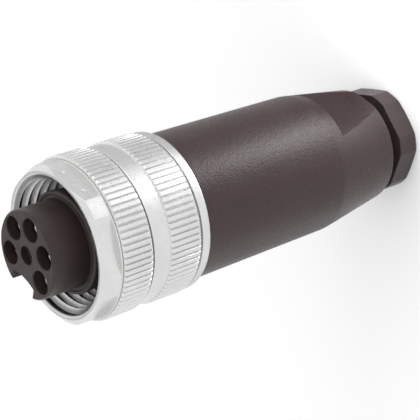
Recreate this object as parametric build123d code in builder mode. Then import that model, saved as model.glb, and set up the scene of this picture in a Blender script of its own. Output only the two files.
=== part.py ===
from build123d import *
import os
from math import cos, radians, sin

# Straight circular power connector for field wiring: 7/8 inch coupling ring, five sockets, screw terminals
# and a cable gland. It stands on the rear face of its gland nut, with the mating face up.
# Frame: millimetres, z = 0 at the nut's rear face, +Z along the axis to the mating face, +X through the
# middle socket, and the keyway on the -X side.

# Gland nut
nut_flats = 17.1
nut_corner_rise = 0.55
nut_head_height = 4.0
nut_head_chamfer = 0.25
nut_turn = -3.5
nut_shank_d = 15.1
nut_shank_length = 7.0
nut_bore_d = 9.0
nut_mouth_d = 13.0
nut_mouth_depth = 3.0
nut_mouth_floor_d = 10.2
nut_gap = 2.4

# Cable housing
housing_length = 42.9
housing_front_d = 24.3
housing_knee_d = 23.7
housing_cone_length = 13.6
housing_rear_d = 19.65
housing_rear_round = 1.2
housing_knee_round = 3.0
wrench_flats = 18.9
wrench_length = 11.6
spigot_d = 20.4
spigot_height = 2.9
chamber_gap = 1.0
funnel_height = 5.0
seat_web = 2.0
cable_hole_d = 9.2

# Coupling ring
ring_gap = 0.35
hex_wall = 0.6375
hex_corner_rise = 0.975
hex_turn = 30.0
hex_height = 3.4
hex_bevel = 0.925
hex_chamfer_height = 0.6
neck_height = 0.3
knurl_d = 26.4
knurl_root_d = 25.7
knurl_teeth = 82
knurl_crest_share = 0.6
front_knurl_length = 5.4
plain_band_length = 3.4
rear_knurl_length = 5.85
rim_d = 26.06
rim_length = 2.0
rim_round = 0.5
thread_major_d = 22.225
countersink_depth = 0.2875
ring_lip_length = 3.6

# Contact carrier
nose_wall = 0.5
nose_length = 8.3
nose_reach = 5.0
nose_chamfer = 0.25
seal_land_wall = 0.1
collar_inset = 0.17
retainer_gap = 1.0125
retainer_height = 1.85
journal_d = 17.2
journal_length = 8.75
seal_groove_length = 1.8
seal_groove_wall = 0.8
seal_groove_drop = 5.3
carrier_thread_d = 17.0
carrier_thread_length = 7.0
terminal_block_d = 16.4
terminal_block_length = 8.4
key_width = 5.6
key_floor = 4.7
key_sag = 0.5
centre_dimple_d = 3.0
centre_dimple_depth = 1.0
entry_d = 3.8
entry_depth = 12.0
entry_chamfer = 0.15

# Socket contacts and terminal screws
contact_circle_d = 9.4
contact_angles = (-120, -60, 0, 60, 120)
contact_recess = 1.8
tip_d = 3.1
pin_bore_d = 2.1
pin_bore_depth = 10.5
pin_mouth_chamfer = 0.25
slot_width = 0.35
slot_depth = 7.0
contact_rear_gap = 0.5
wire_bore_d = 2.2
wire_bore_depth = 7.0
screw_d = 2.5
screw_drop = 3.6
screw_slot_width = 0.5
screw_slot_depth = 0.7

# Seals, washer and clamp cage
interface_seal_width = 1.54
interface_seal_length = 1.6
interface_seal_chamfer = 0.3
o_ring_corner_share = 2 / 7
cable_seal_length = 5.5
cable_seal_bore_d = 8.2
cable_seal_chamfer = 0.6
washer_thickness = 0.8
cage_base_height = 2.4
cage_finger_height = 3.0
cage_tip_gap = 0.23
cage_bore_d = 8.8
cage_slots = 8
cage_slot_width = 0.8

# Clearances on the radius, and end gaps
thread_fit = 0.05
turning_fit = 0.08
press_fit = 0.03
seal_fit = 0.05
free_gap = 0.3
end_play = 0.2

# Heights worked out from the nut up to the mating face
z_nut_top = nut_head_height
z_housing_rear = z_nut_top + nut_gap
z_housing_front = z_housing_rear + housing_length
z_ring_rear = z_housing_front + ring_gap
z_rear_knurl = z_ring_rear + rim_length
z_rear_top = z_rear_knurl + rear_knurl_length
z_front_knurl = z_rear_top + plain_band_length
z_front_top = z_front_knurl + front_knurl_length
z_hex = z_front_top + neck_height
z_ring_front = z_hex + hex_height
z_face = z_ring_front + nose_reach
z_spigot_top = z_housing_front + spigot_height
z_lip_bottom = z_spigot_top + end_play
z_lip_top = z_lip_bottom + ring_lip_length
z_retainer = z_lip_top + end_play
z_collar = z_retainer + retainer_height
z_seal_seat = z_face - nose_length
z_seal_top = z_seal_seat + interface_seal_length
z_carrier_thread = z_retainer - journal_length
z_thread_end = z_carrier_thread - carrier_thread_length
z_carrier_end = z_thread_end - terminal_block_length
z_shank_top = z_nut_top + nut_shank_length
z_cage_base = z_shank_top + free_gap
z_washer = z_cage_base + cage_base_height
z_cable_seal = z_washer + washer_thickness
z_gland_seat = z_cable_seal + cable_seal_length
z_funnel = z_gland_seat + seat_web
z_funnel_top = z_funnel + funnel_height

# Diameters that follow from other pieces
nut_corner_d = nut_flats + 2 * nut_corner_rise
hex_flats = thread_major_d + 2 * hex_wall
hex_corner_d = hex_flats + 2 * hex_corner_rise
hex_face_d = hex_corner_d - 2 * hex_bevel
retainer_d = thread_major_d - 2 * retainer_gap
contact_reach_d = contact_circle_d + entry_d
nose_d = contact_reach_d + 2 * nose_wall
seal_land_d = contact_reach_d + 2 * seal_land_wall
seal_groove_d = contact_reach_d + 2 * seal_groove_wall
interface_seal_d = seal_land_d + 2 * (press_fit + interface_seal_width)
collar_d = interface_seal_d - 2 * collar_inset
chamber_d = terminal_block_d + 2 * chamber_gap

# Radii that two pieces share
gland_bore_r = nut_shank_d / 2 + turning_fit
journal_r = journal_d / 2
seal_bore_r = journal_r + seal_fit
ring_lip_r = journal_r + turning_fit
spigot_bore_r = seal_bore_r
contact_r = entry_d / 2
carrier_bore_r = contact_r + press_fit
contact_circle_r = contact_circle_d / 2


def hexagon_blank(across_flats, height, turn, z):
    """Hexagonal prism standing on z, added to the part being built."""
    with BuildSketch(Plane.XY.offset(z)) as hexagon:
        RegularPolygon(across_flats / 2, 6, major_radius=False, rotation=turn)
    extrude(hexagon.sketch, amount=height)


def turned(points, mode=Mode.ADD):
    """Solid of revolution about Z from a closed outline of (radius, z) points."""
    with BuildSketch(Plane.XZ) as profile:
        with BuildLine():
            Polyline(points, close=True)
        make_face()
    revolve(profile.sketch, axis=Axis.Z, mode=mode)


def polar_point(radius, angle, z=0.0):
    """Point at a radius and an angle in degrees about Z."""
    return (radius * cos(radians(angle)), radius * sin(radians(angle)), z)


def knurl_outline():
    """Outline of the straight knurl: a flat crest to each tooth and a V groove after it."""
    pitch = 360 / knurl_teeth
    half_crest = knurl_crest_share * pitch / 2
    outline = []
    for tooth in range(knurl_teeth):
        middle = tooth * pitch
        outline.append(polar_point(knurl_d / 2, middle - half_crest)[:2])
        outline.append(polar_point(knurl_d / 2, middle + half_crest)[:2])
        outline.append(polar_point(knurl_root_d / 2, middle + pitch / 2)[:2])
    return outline


def finish(part, name):
    """Label a finished piece and write it as a STEP file."""
    part.label = name
    export_step(part, f"parts/{name}.step")


os.makedirs("parts", exist_ok=True)


# Gland nut: hexagon head with its corners turned off, and a threaded shank that opens into a cone
with BuildPart() as gland_nut:
    hexagon_blank(nut_flats, nut_head_height, nut_turn, 0)
    nut_r = nut_corner_d / 2
    turned(
        [
            (0, 0),
            (nut_flats / 2, 0),
            (nut_r, nut_head_chamfer),
            (nut_r, nut_head_height),
            (0, nut_head_height),
        ],
        mode=Mode.INTERSECT,
    )
    with BuildSketch(Plane.XY.offset(z_nut_top)):
        Circle(nut_shank_d / 2)
    extrude(amount=nut_shank_length)
    with BuildSketch():
        Circle(nut_bore_d / 2)
    extrude(amount=z_shank_top, mode=Mode.SUBTRACT)
    turned(
        [
            (0, z_shank_top),
            (nut_mouth_d / 2, z_shank_top),
            (nut_mouth_floor_d / 2, z_shank_top - nut_mouth_depth),
            (0, z_shank_top - nut_mouth_depth),
        ],
        mode=Mode.SUBTRACT,
    )
finish(gland_nut.part, "gland_nut")


# Clamp cage: a ring with fingers that the nut's cone closes onto the cable
with BuildPart() as clamp_cage:
    finger_root_r = nut_mouth_d / 2 - free_gap
    finger_reach = cage_finger_height - free_gap
    cone_slope = (nut_mouth_d - nut_mouth_floor_d) / 2 / nut_mouth_depth
    finger_tip_r = nut_mouth_d / 2 - cone_slope * (finger_reach - free_gap) - cage_tip_gap
    turned(
        [
            (cage_bore_d / 2, z_washer),
            (gland_bore_r - free_gap, z_washer),
            (gland_bore_r - free_gap, z_cage_base),
            (finger_root_r, z_cage_base),
            (finger_tip_r, z_cage_base - finger_reach),
            (cage_bore_d / 2, z_cage_base - finger_reach),
        ]
    )
    with BuildSketch(Plane.XY.offset(z_cage_base)):
        with PolarLocations(0, cage_slots):
            Rectangle(gland_bore_r, cage_slot_width, align=(Align.MIN, Align.CENTER))
    extrude(amount=-cage_finger_height, mode=Mode.SUBTRACT)
finish(clamp_cage.part, "clamp_cage")


# Thrust washer between the cage and the rubber
with BuildPart() as thrust_washer:
    with BuildSketch(Plane.XY.offset(z_washer)):
        Circle(gland_bore_r - free_gap)
        Circle(cage_bore_d / 2, mode=Mode.SUBTRACT)
    extrude(amount=washer_thickness)
finish(thrust_washer.part, "thrust_washer")


# Cable seal: a thick rubber sleeve that is squeezed along its length
with BuildPart() as cable_seal:
    with BuildSketch(Plane.XY.offset(z_cable_seal)):
        Circle(gland_bore_r - seal_fit)
        Circle(cable_seal_bore_d / 2, mode=Mode.SUBTRACT)
    extrude(amount=cable_seal_length)
    chamfer(cable_seal.edges().filter_by(GeomType.CIRCLE).sort_by(SortBy.RADIUS)[:2], cable_seal_chamfer)
finish(cable_seal.part, "cable_seal")


# Cable housing: a drafted barrel, a cone with two wrench flats, and a stepped bore
with BuildPart() as cable_housing:
    z_knee = z_housing_rear + housing_cone_length
    with BuildSketch(Plane.XZ):
        with BuildLine():
            Polyline(
                (0, z_housing_rear),
                (housing_rear_d / 2, z_housing_rear),
                (housing_knee_d / 2, z_knee),
                (housing_front_d / 2, z_housing_front),
                (spigot_d / 2, z_housing_front),
                (spigot_d / 2, z_spigot_top),
                (0, z_spigot_top),
                close=True,
            )
        make_face()
        fillet(vertices().group_by(Axis.Y)[0].sort_by(Axis.X)[-1], housing_rear_round)
        fillet(vertices().filter_by(lambda v: abs(v.Y - z_knee) < 0.01), housing_knee_round)
    revolve(axis=Axis.Z)
    with BuildSketch(Plane.XY.offset(z_housing_rear)):
        with Locations((wrench_flats / 2, 0), (-wrench_flats / 2, 0)):
            Rectangle(housing_knee_d, housing_front_d)
        Rectangle(wrench_flats, housing_front_d, mode=Mode.SUBTRACT)
    extrude(amount=wrench_length, mode=Mode.SUBTRACT)
    turned(
        [
            (0, z_housing_rear),
            (gland_bore_r, z_housing_rear),
            (gland_bore_r, z_gland_seat),
            (cable_hole_d / 2, z_gland_seat),
            (cable_hole_d / 2, z_funnel),
            (chamber_d / 2, z_funnel_top),
            (chamber_d / 2, z_thread_end),
            (carrier_thread_d / 2 + thread_fit, z_thread_end),
            (carrier_thread_d / 2 + thread_fit, z_carrier_thread),
            (spigot_bore_r, z_carrier_thread),
            (spigot_bore_r, z_spigot_top),
            (0, z_spigot_top),
        ],
        mode=Mode.SUBTRACT,
    )
finish(cable_housing.part, "cable_housing")


# Contact carrier: nose with a keyway, collar, retaining flange, journal, thread and terminal block
with BuildPart() as contact_carrier:
    z_groove = z_retainer - seal_groove_drop
    nose_r = nose_d / 2
    turned(
        [
            (0, z_carrier_end),
            (terminal_block_d / 2, z_carrier_end),
            (terminal_block_d / 2, z_thread_end),
            (carrier_thread_d / 2, z_thread_end),
            (carrier_thread_d / 2, z_carrier_thread),
            (journal_r, z_carrier_thread),
            (journal_r, z_groove - seal_groove_length),
            (seal_groove_d / 2, z_groove - seal_groove_length),
            (seal_groove_d / 2, z_groove),
            (journal_r, z_groove),
            (journal_r, z_retainer),
            (retainer_d / 2, z_retainer),
            (retainer_d / 2, z_collar),
            (collar_d / 2, z_collar),
            (collar_d / 2, z_seal_seat),
            (seal_land_d / 2, z_seal_seat),
            (seal_land_d / 2, z_seal_top),
            (nose_r, z_seal_top),
            (nose_r, z_face - nose_chamfer),
            (nose_r - nose_chamfer, z_face),
            (0, z_face),
        ]
    )
    with BuildSketch(Plane.XY.offset(z_face)):
        with BuildLine():
            Line((-nose_d, -key_width / 2), (-nose_d, key_width / 2))
            Line((-nose_d, key_width / 2), (-key_floor, key_width / 2))
            ThreePointArc((-key_floor, key_width / 2), (-key_floor + key_sag, 0), (-key_floor, -key_width / 2))
            Line((-key_floor, -key_width / 2), (-nose_d, -key_width / 2))
        make_face()
    extrude(amount=z_seal_top - z_face, mode=Mode.SUBTRACT)
    for angle in contact_angles:
        with BuildSketch(Plane.XY.offset(z_face)):
            with Locations(polar_point(contact_circle_r, angle)[:2]):
                Circle(entry_d / 2)
        extrude(amount=-entry_depth, mode=Mode.SUBTRACT)
        with BuildSketch(Plane.XY.offset(z_carrier_end)):
            with Locations(polar_point(contact_circle_r, angle)[:2]):
                Circle(carrier_bore_r)
        extrude(amount=z_face - entry_depth - z_carrier_end, mode=Mode.SUBTRACT)
        screw_plane = Plane(
            origin=polar_point(terminal_block_d / 2, angle, z_thread_end - screw_drop),
            z_dir=polar_point(1, angle),
        )
        with BuildSketch(screw_plane):
            Circle(screw_d / 2 + thread_fit)
        extrude(amount=-(terminal_block_d / 2 - contact_circle_r), mode=Mode.SUBTRACT)
    with BuildSketch(Plane.XY.offset(z_face)):
        Circle(centre_dimple_d / 2)
    extrude(amount=-centre_dimple_depth, mode=Mode.SUBTRACT)
    front_rims = contact_carrier.faces().sort_by(Axis.Z)[-1].edges().filter_by(GeomType.CIRCLE)
    chamfer(front_rims.filter_by(lambda e: abs(e.radius - entry_d / 2) < press_fit), entry_chamfer)
finish(contact_carrier.part, "contact_carrier")


# Interface seal: a rubber ring round the nose, on the collar's front face
with BuildPart() as interface_seal:
    with BuildSketch(Plane.XY.offset(z_seal_seat)):
        Circle(interface_seal_d / 2)
        Circle(seal_land_d / 2 + press_fit, mode=Mode.SUBTRACT)
    extrude(amount=interface_seal_length)
    seal_rims = interface_seal.edges().filter_by(GeomType.CIRCLE).group_by(SortBy.RADIUS)[-1]
    chamfer(seal_rims, interface_seal_chamfer)
finish(interface_seal.part, "interface_seal")


# O-ring in the carrier's groove, flattened where it presses on the groove's floor and the housing's bore
with BuildPart() as housing_o_ring:
    groove_middle = z_retainer - seal_groove_drop - seal_groove_length / 2
    ring_in = seal_groove_d / 2 + press_fit
    ring_out = spigot_bore_r - press_fit
    with BuildSketch(Plane.XZ):
        with Locations(((ring_in + ring_out) / 2, groove_middle)):
            Rectangle(ring_out - ring_in, seal_groove_length - 2 * seal_fit)
        chamfer(vertices(), o_ring_corner_share * (ring_out - ring_in))
    revolve(axis=Axis.Z)
finish(housing_o_ring.part, "housing_o_ring")


# Coupling ring: hexagon, two straight knurls with a plain band between them, and a stepped bore
with BuildPart() as coupling_ring:
    neck_r = hex_corner_d / 2
    hexagon_blank(hex_flats, hex_height, hex_turn, z_hex)
    with BuildSketch(Plane.XY.offset(z_front_top)):
        Circle(neck_r)
    extrude(amount=neck_height)
    with BuildSketch(Plane.XY.offset(z_rear_top)):
        Circle(knurl_root_d / 2)
    extrude(amount=plain_band_length)
    with BuildSketch(Plane.XY.offset(z_ring_rear)):
        Circle(rim_d / 2)
    extrude(amount=rim_length)
    for z_band, band_length in ((z_front_knurl, front_knurl_length), (z_rear_knurl, rear_knurl_length)):
        with BuildSketch(Plane.XY.offset(z_band)):
            with BuildLine():
                Polyline(knurl_outline(), close=True)
            make_face()
        extrude(amount=band_length)
    turned(
        [
            (0, z_ring_rear),
            (rim_d / 2 - rim_round, z_ring_rear),
            (rim_d / 2, z_ring_rear + rim_round),
            (rim_d / 2, z_rear_knurl),
            (knurl_d / 2 + free_gap, z_rear_knurl),
            (knurl_d / 2 + free_gap, z_front_top),
            (neck_r, z_front_top),
            (neck_r, z_ring_front - hex_chamfer_height),
            (hex_face_d / 2, z_ring_front),
            (0, z_ring_front),
        ],
        mode=Mode.INTERSECT,
    )
    turned(
        [
            (0, z_ring_rear),
            (spigot_d / 2 + free_gap, z_ring_rear),
            (spigot_d / 2 + free_gap, z_lip_bottom),
            (ring_lip_r, z_lip_bottom),
            (ring_lip_r, z_lip_top),
            (thread_major_d / 2, z_lip_top),
            (thread_major_d / 2, z_ring_front - countersink_depth),
            (thread_major_d / 2 + countersink_depth, z_ring_front),
            (0, z_ring_front),
        ],
        mode=Mode.SUBTRACT,
    )
finish(coupling_ring.part, "coupling_ring")


def build_contact(angle):
    """Turned socket contact: slotted tip, collar and a rear terminal bored for the wire."""
    middle = polar_point(contact_circle_r, angle)
    z_tip = z_face - contact_recess
    z_step = z_face - entry_depth
    z_end = z_carrier_end + contact_rear_gap
    with BuildPart() as contact:
        with BuildSketch(Plane.XY.offset(z_end)):
            with Locations(middle[:2]):
                Circle(contact_r)
        extrude(amount=z_step - z_end)
        with BuildSketch(Plane.XY.offset(z_step)):
            with Locations(middle[:2]):
                Circle(tip_d / 2)
        extrude(amount=z_tip - z_step)
        with BuildSketch(Plane.XY.offset(z_tip)):
            with Locations(middle[:2]):
                Circle(pin_bore_d / 2)
        extrude(amount=-pin_bore_depth, mode=Mode.SUBTRACT)
        tip_rims = contact.faces().sort_by(Axis.Z)[-1].edges().sort_by(SortBy.RADIUS)
        chamfer(tip_rims[0], pin_mouth_chamfer)
        with BuildSketch(Plane(origin=polar_point(contact_circle_r, angle, z_tip), x_dir=polar_point(1, angle))):
            Rectangle(tip_d, slot_width)
        extrude(amount=-slot_depth, mode=Mode.SUBTRACT)
        with BuildSketch(Plane.XY.offset(z_end)):
            with Locations(middle[:2]):
                Circle(wire_bore_d / 2)
        extrude(amount=wire_bore_depth, mode=Mode.SUBTRACT)
        screw_plane = Plane(
            origin=polar_point(contact_circle_r, angle, z_thread_end - screw_drop),
            z_dir=polar_point(1, angle),
        )
        with BuildSketch(screw_plane):
            Circle(screw_d / 2 + thread_fit)
        extrude(amount=contact_r, mode=Mode.SUBTRACT)
    return contact.part


def build_screw(angle):
    """Slotted grub screw, set along a radius into a contact's terminal."""
    head_r = terminal_block_d / 2 - press_fit
    screw_length = terminal_block_d / 2 - contact_circle_r - wire_bore_d / 2
    with BuildPart() as screw:
        head = Plane(
            origin=polar_point(head_r, angle, z_thread_end - screw_drop),
            x_dir=(0, 0, 1),
            z_dir=polar_point(1, angle),
        )
        with BuildSketch(head):
            Circle(screw_d / 2)
        extrude(amount=-screw_length)
        with BuildSketch(head):
            Rectangle(screw_slot_width, screw_d)
        extrude(amount=-screw_slot_depth, mode=Mode.SUBTRACT)
    return screw.part


for number, place in enumerate(contact_angles, start=1):
    finish(build_contact(place), f"socket_contact_{number}")
    finish(build_screw(place), f"terminal_screw_{number}")
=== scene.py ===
"""Looks of a straight 7/8 inch circular cable connector, dressed over its fixed frame.

The connector stands on its gland nut with the mating face up. Lengths in this file are millimetres until
a mesh is made, and every piece is placed by its own vertices.
"""
import logging
from dataclasses import dataclass, field
from enum import Enum

import bmesh
import bpy
import numpy as np
from mathutils import Matrix


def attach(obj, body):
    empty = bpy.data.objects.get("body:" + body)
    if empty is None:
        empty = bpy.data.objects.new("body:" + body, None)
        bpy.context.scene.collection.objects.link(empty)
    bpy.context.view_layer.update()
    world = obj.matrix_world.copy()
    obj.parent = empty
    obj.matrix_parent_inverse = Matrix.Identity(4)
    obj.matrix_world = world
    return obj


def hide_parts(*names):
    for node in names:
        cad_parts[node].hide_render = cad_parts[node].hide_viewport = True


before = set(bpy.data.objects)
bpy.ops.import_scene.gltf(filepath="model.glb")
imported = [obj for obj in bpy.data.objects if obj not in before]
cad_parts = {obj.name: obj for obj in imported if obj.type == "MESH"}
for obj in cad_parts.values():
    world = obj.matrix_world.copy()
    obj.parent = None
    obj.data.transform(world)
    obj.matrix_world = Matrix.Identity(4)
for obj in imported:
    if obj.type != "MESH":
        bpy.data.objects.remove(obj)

MM = 0.001
LOG = logging.getLogger("connector")
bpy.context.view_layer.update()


class Body(str, Enum):
    """Bodies that pieces ride on."""

    CONNECTOR = "connector_body"
    RING = "coupling_ring"
    NUT = "gland_nut"


class Slot(str, Enum):
    """Material slots of the record."""

    HOUSING = "housing_plastic"
    CARRIER = "carrier_plastic"
    NUT = "nut_plastic"
    CAGE = "cage_plastic"
    RUBBER = "black_rubber"
    PLATE = "plated_metal"
    CONTACT = "contact_brass"
    SCREW = "screw_steel"


# Mesh helpers


def make_object(name: str, points: np.ndarray, quads: np.ndarray, weld: float = 1e-4) -> bpy.types.Object:
    """Put points and quads into a closed mesh whose faces point outwards.

    Args:
        name: name of the new object.
        points: (n, 3) coordinates in millimetres.
        quads: (m, 4) vertex numbers.
        weld: distance in millimetres under which points are merged.

    Returns:
        The linked object, at the origin.
    """
    mesh = bpy.data.meshes.new(name)
    mesh.from_pydata(points * MM, [], quads)
    built = bmesh.new()
    built.from_mesh(mesh)
    bmesh.ops.remove_doubles(built, verts=built.verts, dist=weld * MM)
    bmesh.ops.dissolve_degenerate(built, dist=weld * MM * 0.5, edges=built.edges)
    bmesh.ops.recalc_face_normals(built, faces=built.faces)
    built.to_mesh(mesh)
    built.free()
    piece = bpy.data.objects.new(name, mesh)
    bpy.context.scene.collection.objects.link(piece)
    return piece


def crease(piece: bpy.types.Object, degrees: float) -> None:
    """Shade a piece smooth, with edges sharper than an angle left hard.

    Args:
        piece: the mesh object.
        degrees: angle between faces past which an edge is hard.
    """
    piece.data.shade_smooth()
    piece.data.set_sharp_from_angle(angle=np.radians(degrees))


def grid_quads(rows: int, columns: int, close_rows: bool, close_columns: bool) -> np.ndarray:
    """Quads of a grid numbered row by row.

    Args:
        rows: number of rows.
        columns: number of points in each row.
        close_rows: whether the last row joins the first.
        close_columns: whether the last point of a row joins its first.

    Returns:
        (m, 4) vertex numbers.
    """
    row = np.arange(rows if close_rows else rows - 1)[:, None]
    column = np.arange(columns if close_columns else columns - 1)[None, :]
    after_row = (row + 1) % rows
    after_column = (column + 1) % columns
    corners = [
        row * columns + column,
        row * columns + after_column,
        after_row * columns + after_column,
        after_row * columns + column,
    ]
    return np.stack([c.ravel() for c in corners], axis=1)


def turned_shell(name: str, radius: np.ndarray, height: np.ndarray, angle: np.ndarray) -> bpy.types.Object:
    """Closed shell round Z: each row of the grid is one loop, and the last row joins the first.

    A point is (r cos a, r sin a, z), with r, z and a given for every point of the grid.

    Args:
        name: name of the new object.
        radius: (rows, columns) radii.
        height: (rows, columns) heights.
        angle: (rows, columns) angles in radians.

    Returns:
        The linked object.
    """
    points = np.stack([radius * np.cos(angle), radius * np.sin(angle), height], axis=-1)
    return make_object(name, points.reshape(-1, 3), grid_quads(*radius.shape, True, True))


def round_rows(points: list, angle: np.ndarray) -> tuple:
    """Grids of plain round loops, one for each point.

    Args:
        points: (r, z) of each loop.
        angle: (columns,) angles in radians.

    Returns:
        Radius, height and angle, each (rows, columns).
    """
    rows = np.array(points)
    ones = np.ones((1, angle.size))
    return rows[:, :1] * ones, rows[:, 1:] * ones, np.broadcast_to(angle, (len(rows), angle.size))


def arc_steps(r0: float, z0: float, r1: float, z1: float, bulge: tuple, count: int = 5) -> list:
    """Quarter-ellipse from one (r, z) point to another, leaving the first along r or z.

    The curve is the sum of the start, the end and the corner point weighted by sine and cosine.

    Args:
        r0: first radius.
        z0: first height.
        r1: last radius.
        z1: last height.
        bulge: (r, z) of the corner that the curve rounds off.
        count: number of points, ends included.

    Returns:
        List of (r, z).
    """
    t = np.linspace(0, np.pi / 2, count)
    along, back = np.sin(t), np.cos(t)
    rb, zb = bulge
    r = rb + (r0 - rb) * (1 - along) + (r1 - rb) * (1 - back)
    z = zb + (z0 - zb) * (1 - along) + (z1 - zb) * (1 - back)
    return list(zip(r.tolist(), z.tolist()))


def with_edges(count: int, edges: list, soft: float) -> np.ndarray:
    """Angles round a circle, with a close pair on each side of every listed edge.

    Args:
        count: number of evenly spaced angles.
        edges: angles in degrees where the section has a corner.
        soft: half width of a corner in degrees.

    Returns:
        Sorted angles in radians.
    """
    even = np.arange(count) * 360.0 / count
    marks = np.array(edges, float) % 360.0
    near = np.abs((even[:, None] - marks[None, :] + 180) % 360 - 180).min(axis=1) < soft * 2
    pairs = np.concatenate([(marks - soft) % 360.0, (marks + soft) % 360.0])
    return np.radians(np.unique(np.round(np.concatenate([even[~near], pairs]), 6)))


def hexagon_radius(angle: np.ndarray, flats: float, corner: float, turn: float) -> np.ndarray:
    """Radius of a hexagon with its corners turned off.

    The distance to a flat, half the width across flats over the cosine of the angle from its middle,
    is cut down to the corner radius.

    Args:
        angle: angles in radians.
        flats: width across flats.
        corner: diameter over the turned corners.
        turn: angle of the first flat's middle in degrees.

    Returns:
        Radii of the same shape.
    """
    sixth = np.pi / 3
    away = (angle - np.radians(turn) + sixth / 2) % sixth - sixth / 2
    return np.minimum(flats / 2 / np.cos(away), corner / 2)


# Finishes


class Nodes:
    """Short way to write a node tree for one material."""

    def __init__(self, name: str) -> None:
        """Start a material with a principled shader.

        Args:
            name: name of the material.
        """
        self.material = bpy.data.materials.new(name)
        self.material.use_nodes = True
        self.tree = self.material.node_tree
        self.shader = self.tree.nodes["Principled BSDF"]

    def add(self, kind: str, settings: dict | None = None, **inputs: object) -> bpy.types.Node:
        """Add a node, set its properties and its inputs.

        Args:
            kind: node type, without the leading ShaderNode.
            settings: property names and values.
            inputs: socket names, with underscores for spaces, and a value or an output socket.

        Returns:
            The new node.
        """
        node = self.tree.nodes.new("ShaderNode" + kind)
        for key, value in (settings or {}).items():
            setattr(node, key, value)
        for key, value in inputs.items():
            self.feed(node, key.replace("_", " "), value)
        return node

    def feed(self, node: bpy.types.Node, socket: str | int, value: object) -> None:
        """Set a socket to a value, or link an output to it.

        Args:
            node: node that has the socket.
            socket: name or number of the input.
            value: constant or output socket.
        """
        if isinstance(value, bpy.types.NodeSocket):
            self.tree.links.new(value, node.inputs[socket])
        else:
            node.inputs[socket].default_value = value

    def object_place(self) -> bpy.types.NodeSocket:
        """Object coordinates in metres."""
        return self.add("TexCoord").outputs["Object"]

    def noise(self, place: bpy.types.NodeSocket, cell_mm: float, detail: float = 2.0) -> bpy.types.NodeSocket:
        """Noise value whose cells are about the given size.

        Args:
            place: coordinates in metres.
            cell_mm: cell size in millimetres.
            detail: octaves.

        Returns:
            The value output.
        """
        texture = self.add("TexNoise", Vector=place, Scale=1 / (cell_mm * MM), Detail=detail)
        return texture.outputs[0]

    def span(self, value: bpy.types.NodeSocket, low: float, high: float, start: float = 0.3,
             stop: float = 0.7) -> bpy.types.NodeSocket:
        """Map a value's range to another one, clamped.

        Args:
            value: the input.
            low: result at start.
            high: result at stop.
            start: input value for low.
            stop: input value for high.

        Returns:
            The mapped output.
        """
        node = self.add("MapRange", None, Value=value)
        node.inputs["From Min"].default_value = start
        node.inputs["From Max"].default_value = stop
        node.inputs["To Min"].default_value = low
        node.inputs["To Max"].default_value = high
        return node.outputs[0]

    def blend_colour(self, factor: bpy.types.NodeSocket, first: tuple, second: tuple) -> bpy.types.NodeSocket:
        """Mix two colours by a factor.

        Args:
            factor: 0 for the first, 1 for the second.
            first: red, green, blue.
            second: red, green, blue.

        Returns:
            The colour output.
        """
        node = self.add("Mix", {"data_type": "RGBA"})
        self.feed(node, 0, factor)
        node.inputs[6].default_value = (*first, 1)
        node.inputs[7].default_value = (*second, 1)
        return node.outputs[2]

    def bump(self, height: bpy.types.NodeSocket, depth_mm: float, strength: float,
             below: bpy.types.NodeSocket | None = None) -> bpy.types.NodeSocket:
        """Bump of a given depth, on top of another normal if one is given.

        Args:
            height: height output, 0 to 1.
            depth_mm: depth in millimetres.
            strength: 0 to 1.
            below: normal output that this one adds to.

        Returns:
            The normal output.
        """
        node = self.add("Bump", None, Height=height, Strength=strength, Distance=depth_mm * MM)
        if below is not None:
            self.feed(node, "Normal", below)
        return node.outputs[0]


@dataclass(frozen=True)
class ErodedPlastic:
    """Dark moulded plastic with a spark-eroded skin."""

    name: str
    colour: tuple
    lighter: tuple
    roughness: float = 0.3
    grain_mm: float = 0.28
    grain_depth_mm: float = 0.1
    cloud_mm: float = 5.0
    pit_ratio: float = 2.7
    pit_strength: float = 0.2
    grain_strength: float = 0.6
    sheen: float = 0.4

    def make(self) -> bpy.types.Material:
        """Build the material: fine grain over coarser pits, and a colour that drifts in soft clouds.

        Returns:
            The material.
        """
        n = Nodes(self.name)
        place = n.object_place()
        clouds = n.noise(place, self.cloud_mm, 3.0)
        grain = n.noise(place, self.grain_mm, 2.0)
        pits = n.noise(place, self.grain_mm * self.pit_ratio, 1.0)
        n.feed(n.shader, "Base Color", n.blend_colour(n.span(clouds, 0, 1), self.colour, self.lighter))
        n.feed(n.shader, "Roughness", n.span(grain, self.roughness - 0.07, self.roughness + 0.09))
        coarse = n.bump(pits, self.grain_depth_mm, self.pit_strength)
        n.feed(n.shader, "Normal", n.bump(grain, self.grain_depth_mm, self.grain_strength, coarse))
        n.shader.inputs["Specular IOR Level"].default_value = self.sheen
        return n.material


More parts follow.
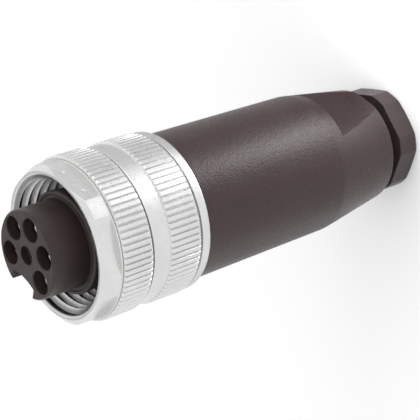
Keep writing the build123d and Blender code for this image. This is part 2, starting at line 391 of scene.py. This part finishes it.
@dataclass(frozen=True)
class SatinPlate:
    """Satin nickel plate on die-cast metal, with fine turning marks round Z and a painted shade that darkens
    the thread's valleys.
    """

    name: str
    colour: tuple
    roughness: float = 0.3
    mark_mm: float = 0.3
    mark_depth_mm: float = 0.003
    mark_strength: float = 0.35
    orange_mm: float = 0.9
    # Painted shade: a dark colour laid on the thread's valleys inside the bore in place of their shade, and
    # the radii where it fades in, is full, wanes and ends.
    valley: tuple = (0.25, 0.245, 0.245)
    valley_shade_r: tuple = (10.3, 10.8, 11.15, 11.35)

    def make(self) -> bpy.types.Material:
        """Build the material: marks that vary with height only, and a painted shade over the thread's valleys
        that fades in by radius.

        Returns:
            The material.
        """
        n = Nodes(self.name)
        place = n.object_place()
        parts = n.add("SeparateXYZ", None, Vector=place)
        height_only = n.add("CombineXYZ", None, Z=parts.outputs["Z"])
        marks = n.noise(height_only.outputs[0], self.mark_mm, 2.0)
        skin = n.noise(place, self.orange_mm, 3.0)
        stains = n.noise(place, self.orange_mm * 7, 2.0)
        duller = tuple(0.9 * c for c in self.colour)
        plated = n.blend_colour(n.span(stains, 0, 1), self.colour, duller)
        across = n.add("CombineXYZ", None, X=parts.outputs["X"], Y=parts.outputs["Y"])
        reach = n.add("VectorMath", {"operation": "LENGTH"}, Vector=across.outputs[0]).outputs["Value"]
        start, full, wane, end = (r * MM for r in self.valley_shade_r)
        # Painted shade: a share that is full over the thread's valleys and fades out by radius on each side;
        # the mix below darkens the plate there.
        deep = n.add("Math", {"operation": "MULTIPLY"})
        n.feed(deep, 0, n.span(reach, 0, 1, start, full))
        n.feed(deep, 1, n.span(reach, 1, 0, wane, end))
        valley_shaded = n.add("Mix", {"data_type": "RGBA"})
        n.feed(valley_shaded, 0, deep.outputs[0])
        n.feed(valley_shaded, 6, plated)
        valley_shaded.inputs[7].default_value = (*self.valley, 1)
        n.feed(n.shader, "Base Color", valley_shaded.outputs[2])
        n.feed(n.shader, "Roughness", n.span(skin, self.roughness - 0.05, self.roughness + 0.07))
        n.shader.inputs["Metallic"].default_value = 1.0
        n.feed(n.shader, "Normal", n.bump(marks, self.mark_depth_mm, self.mark_strength))
        return n.material


@dataclass(frozen=True)
class Rubber:
    """Black moulded rubber with a soft sheen and a little bloom."""

    name: str
    colour: tuple
    bloom: tuple
    roughness: float = 0.55

    def make(self) -> bpy.types.Material:
        """Build the material.

        Returns:
            The material.
        """
        n = Nodes(self.name)
        place = n.object_place()
        haze = n.noise(place, 1.4, 3.0)
        grain = n.noise(place, 0.12, 1.0)
        n.feed(n.shader, "Base Color", n.blend_colour(n.span(haze, 0, 1), self.colour, self.bloom))
        n.feed(n.shader, "Roughness", n.span(haze, self.roughness - 0.08, self.roughness + 0.1))
        n.feed(n.shader, "Normal", n.bump(grain, 0.008, 0.4))
        return n.material


@dataclass(frozen=True)
class TurnedMetal:
    """Turned contact or screw metal with faint tool marks and tarnish."""

    name: str
    colour: tuple
    tarnish: tuple
    roughness: float = 0.22

    def make(self) -> bpy.types.Material:
        """Build the material.

        Returns:
            The material.
        """
        n = Nodes(self.name)
        place = n.object_place()
        stain = n.noise(place, 0.8, 3.0)
        marks = n.noise(place, 0.06, 1.0)
        n.feed(n.shader, "Base Color", n.blend_colour(n.span(stain, 0, 1), self.colour, self.tarnish))
        n.feed(n.shader, "Roughness", n.span(stain, self.roughness, self.roughness + 0.14))
        n.shader.inputs["Metallic"].default_value = 1.0
        n.feed(n.shader, "Normal", n.bump(marks, 0.003, 0.3))
        return n.material


@dataclass
class Finishes:
    """One material for each slot, made on first use."""

    recipes: dict = field(
        default_factory=lambda: {
            Slot.HOUSING: ErodedPlastic("housing_plastic", (0.029, 0.0125, 0.0145), (0.034, 0.016, 0.018)),
            Slot.CARRIER: ErodedPlastic(
                "carrier_plastic", (0.025, 0.0135, 0.014), (0.03, 0.017, 0.018), 0.4, 0.2, 0.03, 3.0
            ),
            Slot.NUT: ErodedPlastic("nut_plastic", (0.034, 0.021, 0.023), (0.042, 0.027, 0.029), 0.34),
            Slot.CAGE: ErodedPlastic(
                "cage_plastic", (0.022, 0.02, 0.02), (0.03, 0.027, 0.027), 0.45, 0.1, 0.008, 2.0
            ),
            Slot.RUBBER: Rubber("black_rubber", (0.034, 0.022, 0.022), (0.05, 0.036, 0.036)),
            Slot.PLATE: SatinPlate("plated_metal", (0.72, 0.72, 0.715)),
            Slot.CONTACT: TurnedMetal("contact_brass", (0.84, 0.8, 0.72), (0.62, 0.57, 0.48)),
            Slot.SCREW: TurnedMetal("screw_steel", (0.6, 0.6, 0.58), (0.45, 0.44, 0.42), 0.3),
        }
    )
    made: dict = field(default_factory=dict)

    def get(self, slot: Slot) -> bpy.types.Material:
        """Material of a slot."""
        if slot not in self.made:
            self.made[slot] = self.recipes[slot].make()
        return self.made[slot]

    def dress(self, piece: bpy.types.Object, slot: Slot, body: Body) -> bpy.types.Object:
        """Give a new piece its finish, its slot and its body.

        Args:
            piece: the new object.
            slot: material slot.
            body: body that it rides on.

        Returns:
            The same piece.
        """
        piece.data.materials.clear()
        piece.data.materials.append(self.get(slot))
        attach(piece, body.value)
        LOG.info("%s: %d faces on %s", piece.name, len(piece.data.polygons), body.value)
        return piece

    def dress_node(self, name: str, slot: Slot) -> None:
        """Give a node of the frame its finish in its own slots.

        Args:
            name: node name.
            slot: material slot.
        """
        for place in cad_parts[name].material_slots:
            place.material = self.get(slot)
        LOG.info("%s: dressed as %s", name, slot.value)


class Side(Enum):
    """Which way a thread's ridges point."""

    INWARD = -1
    OUTWARD = 1


@dataclass(frozen=True)
class ThreadSleeve:
    """Thin sleeve that carries a right-hand thread on one face."""

    name: str
    root_r: float
    depth: float
    pitch: float
    low: float
    high: float
    side: Side
    backing: float = 0.12
    columns: int = 192
    crest_share: float = 0.12
    flank_share: float = 0.3
    corner_share: float = 0.03

    def section(self) -> tuple:
        """Section of one ridge, with a flat crest and a flat root.

        Returns:
            Offsets along one pitch, and the share of the full depth at each.
        """
        flank, half_crest, soft = self.flank_share, self.crest_share / 2, self.corner_share
        rise, fall = 0.5 - half_crest - flank, 0.5 + half_crest
        along = np.array(
            [0.0, rise - soft, rise, 0.5 - half_crest - soft, 0.5 - half_crest, 0.5, fall, fall + soft,
             fall + flank, fall + flank + soft]
        )
        share = np.array([0.0, 0.0, 0.03, 0.97, 1.0, 1.0, 1.0, 0.97, 0.03, 0.0])
        return along, share

    def build(self, crest_limit: float, slope: float = 1.0) -> bpy.types.Object:
        """Make the sleeve.

        A point of the section sits at pitch times (turn + its offset + angle over a full turn), clipped to
        the sleeve's ends, and its radius is the root radius plus the signed depth times its share.

        Args:
            crest_limit: radius at the high end that the lead-in chamfer leaves.
            slope: radius that the chamfer gives back for each millimetre down from the high end.

        Returns:
            The linked object.
        """
        along, share = self.section()
        turns = np.arange(np.floor(self.low / self.pitch) - 2, np.ceil(self.high / self.pitch) + 1)
        offset = (turns[:, None] + along[None, :]).ravel()
        level = np.tile(share, len(turns))
        angle = np.linspace(0, 2 * np.pi, self.columns + 1)
        height = self.pitch * (offset[:, None] + angle[None, :] / (2 * np.pi))
        clipped = np.clip(height, self.low, self.high)
        fade = np.clip((clipped - self.low) / self.pitch, 0, 1)
        sign = self.side.value
        radius = self.root_r + sign * self.depth * level[:, None] * fade
        lead = crest_limit + sign * slope * (self.high - clipped)
        radius = np.minimum(radius, lead) if sign > 0 else np.maximum(radius, lead)
        back = np.full((2, self.columns + 1), self.root_r - sign * self.backing)
        ends = np.array([[self.high], [self.low]]) * np.ones((1, self.columns + 1))
        radius = np.concatenate([radius, back])
        clipped = np.concatenate([clipped, ends])
        return turned_shell(self.name, radius, clipped, np.broadcast_to(angle, radius.shape))


@dataclass(frozen=True)
class CouplingRing:
    """Plated ring with a hexagon, two straight knurls, a plain band and a threaded bore."""

    rear: float = 49.65
    front: float = 70.0
    hex_flats: float = 23.5
    hex_corner: float = 25.45
    hex_height: float = 3.4
    hex_face: float = 23.6
    hex_chamfer: float = 0.6
    neck: float = 0.3
    crest: float = 26.38
    root: float = 25.7
    teeth: int = 82
    tooth_columns: tuple = (
        0, 0.14, 0.25, 0.3, 0.34, 0.38, 0.42, 0.46, 0.54, 0.58, 0.62, 0.66, 0.7, 0.75, 0.86,
    )
    tooth_foot: float = 0.46
    tooth_flank: float = 0.17
    front_knurl: float = 5.4
    band: float = 3.4
    rear_knurl: float = 5.85
    rim: float = 26.06
    rim_round: float = 0.5
    bevel: float = 0.3
    bore: float = 22.225
    countersink: float = 22.8
    lip_bore: float = 17.36
    lip_top: float = 56.0
    lip_bottom: float = 52.4
    recess: float = 21.0
    pitch: float = 1.5875
    thread_depth: float = 0.86
    thread_low: float = 57.6
    thread_gap: float = 0.25
    undercut: float = 0.38
    undercut_width: float = 0.32
    dimples: tuple = ((2.4, 68.4), (-2.7, 68.2))
    dimple_r: float = 0.38
    dimple_depth: float = 0.06
    dimple_slope: float = 0.45
    dimple_row: float = 0.07

    def tooth(self, angle: np.ndarray) -> np.ndarray:
        """Height of the knurl, with rounded shoulders: a smooth step on the distance from the tooth's middle.

        Args:
            angle: angles in radians.

        Returns:
            Shares from 0 in a groove to 1 on a crest.
        """
        pitch = 2 * np.pi / self.teeth
        away = np.abs((angle + pitch / 2) % pitch - pitch / 2) / pitch
        t = np.clip((self.tooth_foot - away) / self.tooth_flank, 0, 1)
        return t * t * (3 - 2 * t)

    def tooth_angles(self) -> np.ndarray:
        """Place fifteen columns of the grid on each tooth, closest where the flanks turn.

        Returns:
            Angles in radians.
        """
        pitch = 2 * np.pi / self.teeth
        within = np.array(self.tooth_columns) * pitch
        return (np.arange(self.teeth)[:, None] * pitch + within[None, :]).ravel()

    def dimple(self, radius: np.ndarray, angle: np.ndarray, z: float) -> np.ndarray:
        """Depth of the two round marks in the flat that faces +X, at one height.

        Args:
            radius: radii of the row.
            angle: angles of the row.
            z: height of the row.

        Returns:
            Depths below the flat.
        """
        depth = np.zeros_like(radius)
        for y, height in self.dimples:
            away = np.hypot(radius * np.sin(angle) - y, z - height) / self.dimple_r
            round_floor = np.clip((1 - away) / self.dimple_slope, 0, 1)
            depth = np.where(np.cos(angle) > 0, np.maximum(depth, self.dimple_depth * round_floor), depth)
        return depth

    def shell(self) -> bpy.types.Object:
        """Make the ring's body.

        Each row is a loop at one height. The knurled rows have the root radius plus the tooth height, the
        hexagon's rows have the hexagon's radius, and its chamfer ends where the cone meets that radius.
        Offsets of a few hundredths put a second loop beside an edge, which keeps its highlight narrow.

        Returns:
            The linked object.
        """
        angle = self.tooth_angles()
        tooth = self.tooth(angle)
        flat = np.ones_like(angle)
        root, gain = self.root / 2, (self.crest - self.root) / 2
        hexagon = hexagon_radius(angle, self.hex_flats, self.hex_corner, 0)
        hex_foot = self.front - self.hex_height
        front_top = hex_foot - self.neck
        front_low = front_top - self.front_knurl
        rear_top = front_low - self.band
        rear_low = rear_top - self.rear_knurl
        rows = []

        def plain(points: list) -> None:
            """Add a round row for each (radius, height)."""
            rows.extend((flat * r, flat * z) for r, z in points)

        def knurl(low: float, high: float) -> None:
            """Add one knurled band whose teeth ramp up over a bevel at each end.

            Args:
                low: height of its lower end.
                high: height of its upper end.
            """
            ramp = [(0, 0), (0.5, 0.08), (0.9, self.bevel * 0.7), (1, self.bevel)]
            steps = [(share, low + up) for share, up in ramp]
            steps += [(share, high - up) for share, up in ramp[::-1]]
            rows.extend((root + gain * tooth * share, flat * z) for share, z in steps)

        def undercut(r: float, top: float) -> None:
            """Add the small groove behind a knurled band.

            Args:
                r: radius of the surface that it is cut in.
                top: height of the groove's upper end.
            """
            low = top - self.undercut_width
            deep = r - self.undercut
            plain([(r, low - 0.04), (r - 0.02, low), (deep, low + 0.1), (deep, top - 0.02)])

        rim_r = self.rim / 2
        plain([(self.recess / 2, self.rear), (rim_r - self.rim_round - 0.05, self.rear)])
        plain(
            arc_steps(
                rim_r - self.rim_round, self.rear, rim_r, self.rear + self.rim_round, (rim_r, self.rear), 6
            )
        )
        plain([(rim_r, self.rear + self.rim_round + 0.05)])
        undercut(rim_r, rear_low)
        knurl(rear_low, rear_top)
        plain([(root, rear_top + 0.05)])
        undercut(root, front_low)
        knurl(front_low, front_top)
        shoulder = self.hex_corner / 2
        plain([(shoulder - 0.12, front_top + 0.01), (shoulder, front_top + 0.12), (shoulder, hex_foot - 0.1)])
        plain([(shoulder - 0.1, hex_foot)])
        rows.append((np.minimum(hexagon + 0.02, shoulder - 0.1), flat * hex_foot))
        rows.append((hexagon, flat * (hex_foot + 0.03)))
        marks = [z for _, z in self.dimples]
        low, high = min(marks) - self.dimple_r - 0.04, max(marks) + self.dimple_r + 0.08
        for z in np.arange(low, high, self.dimple_row):
            rows.append((hexagon - self.dimple(hexagon, angle, z), flat * z))
        slope = self.hex_chamfer / ((self.hex_corner - self.hex_face) / 2)
        drop = np.clip((hexagon - self.hex_face / 2) * slope, 0, None)
        rows.append((hexagon, self.front - drop - 0.03))
        rows.append((hexagon - 0.02, self.front - drop))
        face = np.minimum(hexagon - 0.03, self.hex_face / 2)
        rows.extend([(face, flat * self.front), (face - 0.04, flat * self.front)])
        plain([(self.countersink / 2 + 0.04, self.front), (self.countersink / 2, self.front - 0.02)])
        seat = self.front - (self.countersink - self.bore) / 2
        plain([(self.bore / 2, seat), (self.bore / 2, seat - 0.05)])
        plain([(self.bore / 2, self.lip_top), (self.lip_bore / 2, self.lip_top)])
        plain([(self.lip_bore / 2, self.lip_bottom), (self.recess / 2, self.lip_bottom)])
        radius = np.array([r for r, _ in rows])
        height = np.array([z for _, z in rows])
        ring = turned_shell("coupling_ring_body", radius, height, np.broadcast_to(angle, radius.shape))
        crease(ring, 19)
        return ring

    def build(self, finishes: Finishes) -> None:
        """Make the ring and its thread, in place of the frame's node.

        Args:
            finishes: the materials.
        """
        ring = finishes.dress(self.shell(), Slot.PLATE, Body.RING)
        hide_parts("coupling_ring")
        sleeve = ThreadSleeve(
            "coupling_ring_thread", self.bore / 2, self.thread_depth, self.pitch, self.thread_low,
            self.front - self.thread_gap, Side.INWARD,
        )
        thread = sleeve.build(self.bore / 2)
        crease(thread, 40)
        finishes.dress(thread, Slot.PLATE, Body.RING)


@dataclass(frozen=True)
class CableHousing:
    """Moulded sleeve: drafted barrel, cone with two wrench flats, and a stepped bore."""

    rear: float = 6.4
    front: float = 49.3
    front_d: float = 24.3
    front_round: float = 0.2
    knee_d: float = 23.7
    knee_z: float = 20.0
    knee_soft: float = 0.04
    rear_d: float = 19.65
    rear_round: float = 0.45
    flats: float = 18.9
    flat_top: float = 18.0
    flat_cosine: float = 0.99985
    spigot_d: float = 20.4
    spigot_top: float = 52.2
    inner: tuple = (
        (8.65, 52.2), (8.65, 47.45), (8.55, 47.45), (8.55, 40.45), (9.2, 40.45), (9.2, 27.0), (4.6, 22.0),
        (4.6, 20.0), (7.63, 20.0), (7.63, 6.75), (7.75, 6.4),
    )
    columns: int = 64

    def outer_radius(self, z: np.ndarray) -> np.ndarray:
        """Radius of the round form: a rounded rear edge, the cone, and the barrel past a soft knee.

        The smaller of cone and barrel is taken with a hyperbola, and the rear edge is a quarter circle.

        Args:
            z: heights.

        Returns:
            Radii of the same shape.
        """
        cone = self.rear_d / 2 + (self.knee_d - self.rear_d) / 2 * (z - self.rear) / (self.knee_z - self.rear)
        draft = (self.front_d - self.knee_d) / 2
        barrel = self.knee_d / 2 + draft * (z - self.knee_z) / (self.front - self.knee_z)
        body = (cone + barrel - np.sqrt((cone - barrel) ** 2 + self.knee_soft**2)) / 2
        short = np.clip(self.rear_round - (z - self.rear), 0, None)
        return body - (self.rear_round - np.sqrt(np.clip(self.rear_round**2 - short**2, 0, None)))

    def warp(self, half: np.ndarray) -> np.ndarray:
        """Angles whose columns follow the edges of both flats.

        A quarter of the columns lies within each flat's half angle, and the rest between the flats.

        Args:
            half: (rows, 1) half angle of a flat on each row.

        Returns:
            (rows, columns * 4) angles.
        """
        t = np.arange(self.columns) / self.columns
        quarters = [half * t, half + (np.pi - 2 * half) * t, np.pi - half + half * t]
        second = [q + np.pi for q in quarters]
        return np.concatenate(quarters + second, axis=1)

    def build(self, finishes: Finishes) -> None:
        """Make the housing, in place of the frame's node.

        On rows below the flats' step the radius is the smaller of the round form and the flat's distance
        over the cosine of the angle. A flat's half angle stays over a degree, so that no column collapses.
        Rows lie closest at the rear edge, at the flats' step and at the knee.

        Args:
            finishes: the materials.
        """
        heights = np.concatenate(
            [
                self.rear + self.rear_round * (1 - np.cos(np.linspace(0, np.pi / 2, 9))),
                np.linspace(self.rear + self.rear_round + 0.3, self.flat_top - 0.05, 22),
                [self.flat_top],
            ]
        )
        round_low = self.outer_radius(heights)[:, None]
        half_low = np.arccos(np.clip(self.flats / 2 / round_low, -1, self.flat_cosine))
        angle_low = self.warp(half_low)
        cut_low = np.minimum(round_low, self.flats / 2 / np.maximum(np.abs(np.cos(angle_low)), 1e-3))
        upper = np.concatenate(
            [
                [self.flat_top],
                np.linspace(self.flat_top + 0.05, self.knee_z - 0.5, 4),
                np.linspace(self.knee_z - 0.35, self.knee_z + 0.5, 7),
                np.linspace(self.knee_z + 1, self.front - 0.25, 12),
            ]
        )
        edge, soft, spigot = self.front_d / 2, self.front_round, self.spigot_d / 2
        rest = [
            *zip(self.outer_radius(upper), upper),
            *arc_steps(edge, self.front - soft, edge - soft, self.front, (edge, self.front), 4),
            (spigot, self.front), (spigot, self.spigot_top - soft), (spigot - soft, self.spigot_top),
            *self.inner,
        ]
        low_rows = (cut_low, np.broadcast_to(heights[:, None], cut_low.shape), angle_low)
        grids = zip(low_rows, round_rows(rest, angle_low[-1]))
        radius, height, angle = (np.concatenate(pair) for pair in grids)
        housing = turned_shell("cable_housing_shell", radius, height, angle)
        crease(housing, 28)
        finishes.dress(housing, Slot.HOUSING, Body.CONNECTOR)
        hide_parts("cable_housing")


@dataclass(frozen=True)
class GlandNut:
    """Hexagon nut with its corners turned off and a threaded shank."""

    flats: float = 17.1
    corner: float = 18.2
    turn: float = 26.5
    head: float = 4.0
    chamfer: float = 0.25
    shank_core: float = 14.1
    shank_d: float = 15.1
    top: float = 11.0
    bore: float = 9.0
    bore_chamfer: float = 0.4
    mouth: float = 13.0
    mouth_floor: float = 10.2
    mouth_depth: float = 3.0
    pitch: float = 1.411
    thread_gap: float = 0.02
    thread_skim: float = 0.03
    thread_end: float = 0.1
    columns: int = 240

    def build(self, finishes: Finishes) -> None:
        """Make the nut and its thread, in place of the frame's node.

        The head's rows have the hexagon's radius, cut by a chamfer cone at the rear face.

        Args:
            finishes: the materials.
        """
        corner_half = np.degrees(np.arccos(self.flats / self.corner))
        edges = [self.turn + 60 * k + side * corner_half for k in range(6) for side in (-1, 1)]
        angle = with_edges(self.columns, edges, 0.5)
        flat = np.ones_like(angle)
        hexagon = hexagon_radius(angle, self.flats, self.corner, self.turn)
        face_r = self.flats / 2
        slope = self.chamfer / (self.corner / 2 - face_r)
        rise = (hexagon - face_r) * slope
        rows = [
            (flat * (face_r - 0.3), flat * 0.0),
            (flat * (face_r - 0.05), flat * 0.0),
            (hexagon - 0.04, rise),
            (hexagon, rise + 0.06),
            (hexagon, flat * (self.head - 0.08)),
            (hexagon - 0.07, flat * self.head),
        ]
        core = self.shank_core / 2
        tail = [
            (core, self.head), (core, self.top), (self.mouth / 2, self.top),
            (self.mouth_floor / 2, self.top - self.mouth_depth), (self.bore / 2, self.top - self.mouth_depth),
            (self.bore / 2, self.bore_chamfer), (self.bore / 2 + self.bore_chamfer, 0.0),
        ]
        rows += [(flat * r, flat * z) for r, z in tail]
        radius = np.array([r for r, _ in rows])
        height = np.array([z for _, z in rows])
        nut = turned_shell("gland_nut_body", radius, height, np.broadcast_to(angle, radius.shape))
        crease(nut, 30)
        finishes.dress(nut, Slot.NUT, Body.NUT)
        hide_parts("gland_nut")
        depth = (self.shank_d - self.shank_core) / 2 - self.thread_skim
        sleeve = ThreadSleeve(
            "gland_nut_thread", core, depth, self.pitch, self.head + self.thread_gap,
            self.top - self.thread_gap, Side.OUTWARD,
        )
        thread = sleeve.build(core + self.thread_end)
        crease(thread, 40)
        finishes.dress(thread, Slot.NUT, Body.NUT)


@dataclass(frozen=True)
class InterfaceSeal:
    """Rubber ring round the foot of the nose, with two lips on its front face."""

    low: float = 66.7
    high: float = 68.3
    inner_r: float = 6.73
    outer_r: float = 8.27
    edge: float = 0.35
    foot: float = 0.1
    outer_lip: tuple = ((0.5, 0.02), (0.62, 0.22))
    inner_lip: tuple = ((0.3, 0.24), (0.18, 0.04), (0.06, 0.0), (0.0, 0.06))
    columns: int = 192

    def build(self, finishes: Finishes) -> None:
        """Make the ring, in place of the frame's node: a rounded section with a shallow valley in front.

        Each lip is a list of steps into the rubber from its own front corner, and steps down from the face.

        Args:
            finishes: the materials.
        """
        inner, outer, edge = self.inner_r, self.outer_r, self.edge
        section = [(inner, self.low), (outer - self.foot, self.low), (outer, self.low + self.foot)]
        section += arc_steps(outer, self.high - edge, outer - edge, self.high, (outer, self.high), 7)
        section += [(outer - step, self.high - down) for step, down in self.outer_lip]
        section += [(inner + step, self.high - down) for step, down in self.inner_lip]
        angle = np.arange(self.columns) * 2 * np.pi / self.columns
        seal = turned_shell("interface_seal_ring", *round_rows(section, angle))
        crease(seal, 50)
        finishes.dress(seal, Slot.RUBBER, Body.CONNECTOR)
        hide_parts("interface_seal")


@dataclass(frozen=True)
class FloorCard:
    """Grey card on the floor: part of a ring round the connector, from one angle in degrees to another."""

    start: float
    stop: float
    near: float
    far: float
    tone: float

    def corners(self, height: float) -> list:
        """Outline of the card: along the near arc, then back along the far one.

        Args:
            height: its height over the floor in millimetres.

        Returns:
            List of (x, y, z).
        """
        sweep = np.radians(np.linspace(self.start, self.stop, 9))
        outline = [(self.near * np.cos(a), self.near * np.sin(a), height) for a in sweep]
        return outline + [(self.far * np.cos(a), self.far * np.sin(a), height) for a in sweep[::-1]]


@dataclass(frozen=True)
class Studio:
    """Pale floor, soft lights, grey cards for the reflections, and the camera."""

    camera_place: tuple = (149.5, -149.5, 191.8)
    right: tuple = (0.16579, -0.61851, -0.76809)
    down: tuple = (-0.79646, -0.54327, 0.26556)
    focal_px: float = 1600.0
    frame_px: float = 420.0
    sensor: float = 36.0
    sky_strength: float = 1.06
    floor_half: float = 1500.0
    floor_tone: float = 0.95
    paper_roughness: float = 0.9
    key_direction: tuple = (-0.2, 0.8, 0.55)
    key_aim: float = 40.0
    key_distance: float = 600.0
    key_size: float = 300.0
    key_power: float = 0.6
    strip_place: tuple = (52.0, -9.1, 9.0)
    strip_size: tuple = (61.0, 16.0)
    strip_turn: float = -10.0
    strip_power: float = 0.0295
    floor_cards: tuple = (
        FloorCard(24.0, 116.0, 15.0, 130.0, 0.58),
        FloorCard(-205.0, -158.0, 20.0, 80.0, 0.6),
        FloorCard(6.0, 43.0, 13.0, 33.0, 0.27),
        FloorCard(-24.0, 6.0, 24.0, 30.0, 0.35),
    )
    card_height: float = 0.2
    panel_place: tuple = (-174.0, 171.0, 244.0)
    panel_aim: tuple = (0.0, 0.0, 70.0)
    panel_half: float = 100.0
    panel_tone: float = 0.6

    def axes(self) -> tuple:
        """Work out the camera's axes in the world.

        Returns:
            Unit vectors to its right, up and back.
        """
        right = np.array(self.right) / np.linalg.norm(self.right)
        up = -np.array(self.down)
        up = up - right * up.dot(right)
        up /= np.linalg.norm(up)
        return right, up, np.cross(right, up)

    def camera(self) -> None:
        """Make the camera at the photograph's viewing angle."""
        data = bpy.data.cameras.new("camera")
        data.sensor_width = self.sensor
        data.lens = self.focal_px / self.frame_px * self.sensor
        data.clip_start = 0.01
        data.clip_end = 10
        camera = bpy.data.objects.new("camera", data)
        right, up, back = self.axes()
        place = Matrix(np.column_stack([right, up, back]).tolist()).to_4x4()
        place.translation = np.array(self.camera_place) * MM
        camera.matrix_world = place
        bpy.context.scene.collection.objects.link(camera)
        bpy.context.scene.camera = camera

    def key_light(self) -> None:
        """Add a square soft light that faces the connector.

        Its direction is given as shares of image right, image up and towards the camera.
        """
        right, up, back = self.axes()
        shares = self.key_direction
        away = shares[0] * right + shares[1] * up + shares[2] * back
        away = away / np.linalg.norm(away)
        data = bpy.data.lights.new("key_light", "AREA")
        data.shape = "SQUARE"
        data.size = self.key_size * MM
        data.energy = self.key_power
        lamp = bpy.data.objects.new("key_light", data)
        side = np.cross(up, away)
        side /= np.linalg.norm(side)
        turn = Matrix(np.column_stack([side, np.cross(away, side), away]).tolist()).to_4x4()
        turn.translation = away * self.key_distance * MM + np.array([0, 0, self.key_aim * MM])
        lamp.matrix_world = turn
        bpy.context.scene.collection.objects.link(lamp)

    def strip(self) -> None:
        """Light a strip of the floor beside the connector, which shows as the long highlight on it."""
        data = bpy.data.lights.new("floor_strip", "AREA")
        data.shape = "RECTANGLE"
        data.size, data.size_y = (side * MM for side in self.strip_size)
        data.energy = self.strip_power
        lamp = bpy.data.objects.new("floor_strip", data)
        lamp.matrix_world = Matrix.Translation(np.array(self.strip_place) * MM) @ Matrix.Rotation(
            np.radians(self.strip_turn), 4, "Z"
        )
        bpy.context.scene.collection.objects.link(lamp)

    def paper(self, name: str, corners: list, tone: float) -> bpy.types.Object:
        """Lay out one flat sheet of matt paper as part of the stage.

        Args:
            name: name of the sheet.
            corners: its corners in millimetres, in order round it.
            tone: how light its paper is.

        Returns:
            The linked sheet.
        """
        mesh = bpy.data.meshes.new(name)
        mesh.from_pydata(np.array(corners) * MM, [], [tuple(range(len(corners)))])
        sheet = bpy.data.objects.new(name, mesh)
        n = Nodes(f"{name}_paper")
        n.shader.inputs["Base Color"].default_value = (tone, tone, tone, 1)
        n.shader.inputs["Roughness"].default_value = self.paper_roughness
        mesh.materials.append(n.material)
        bpy.context.scene.collection.objects.link(sheet)
        return sheet

    def floor(self) -> None:
        """Make a pale floor under the nut."""
        half = self.floor_half
        corners = [(-half, -half, 0), (half, -half, 0), (half, half, 0), (-half, half, 0)]
        self.paper("floor", corners, self.floor_tone)

    def cards(self) -> None:
        """Lay four grey cards on the floor beside the connector and hang one behind it, above its front.

        Only reflections show them, so that they shape the highlights as a studio's flags do.
        """
        sheets = [
            self.paper(f"floor_card_{number}", card.corners(self.card_height * (number + 1)), card.tone)
            for number, card in enumerate(self.floor_cards)
        ]
        middle = np.array(self.panel_place)
        away = (middle - self.panel_aim) / np.linalg.norm(middle - self.panel_aim)
        side = np.cross([0, 0, 1], away)
        side *= self.panel_half / np.linalg.norm(side)
        rise = np.cross(away, side)
        corners = [middle + a * side + b * rise for a, b in ((-1, -1), (1, -1), (1, 1), (-1, 1))]
        sheets.append(self.paper("rear_card", corners, self.panel_tone))
        for sheet in sheets:
            sheet.visible_camera = sheet.visible_diffuse = sheet.visible_shadow = False

    def build(self) -> None:
        """Make the whole studio."""
        scene = bpy.context.scene
        scene.view_settings.view_transform = "Standard"
        world = bpy.data.worlds.new("studio_world")
        world.use_nodes = True
        sky = world.node_tree.nodes["Background"]
        sky.inputs["Color"].default_value = (1, 1, 1, 1)
        sky.inputs["Strength"].default_value = self.sky_strength
        scene.world = world
        self.floor()
        self.camera()
        self.key_light()
        self.strip()
        self.cards()


def main() -> None:
    """Build every piece in order."""
    logging.basicConfig(level=logging.INFO, format="%(name)s %(message)s")
    for name in ("Cube", "Camera", "Light"):
        if name in bpy.data.objects:
            bpy.data.objects.remove(bpy.data.objects[name])
    finishes = Finishes()
    Studio().build()
    CouplingRing().build(finishes)
    CableHousing().build(finishes)
    GlandNut().build(finishes)
    InterfaceSeal().build(finishes)
    finishes.dress_node("contact_carrier", Slot.CARRIER)
    finishes.dress_node("housing_o_ring", Slot.RUBBER)
    finishes.dress_node("cable_seal", Slot.RUBBER)
    for name in ("clamp_cage", "thrust_washer"):
        finishes.dress_node(name, Slot.CAGE)
    for number in range(1, 6):
        finishes.dress_node(f"socket_contact_{number}", Slot.CONTACT)
        finishes.dress_node(f"terminal_screw_{number}", Slot.SCREW)


if __name__ == "__main__":
    main()
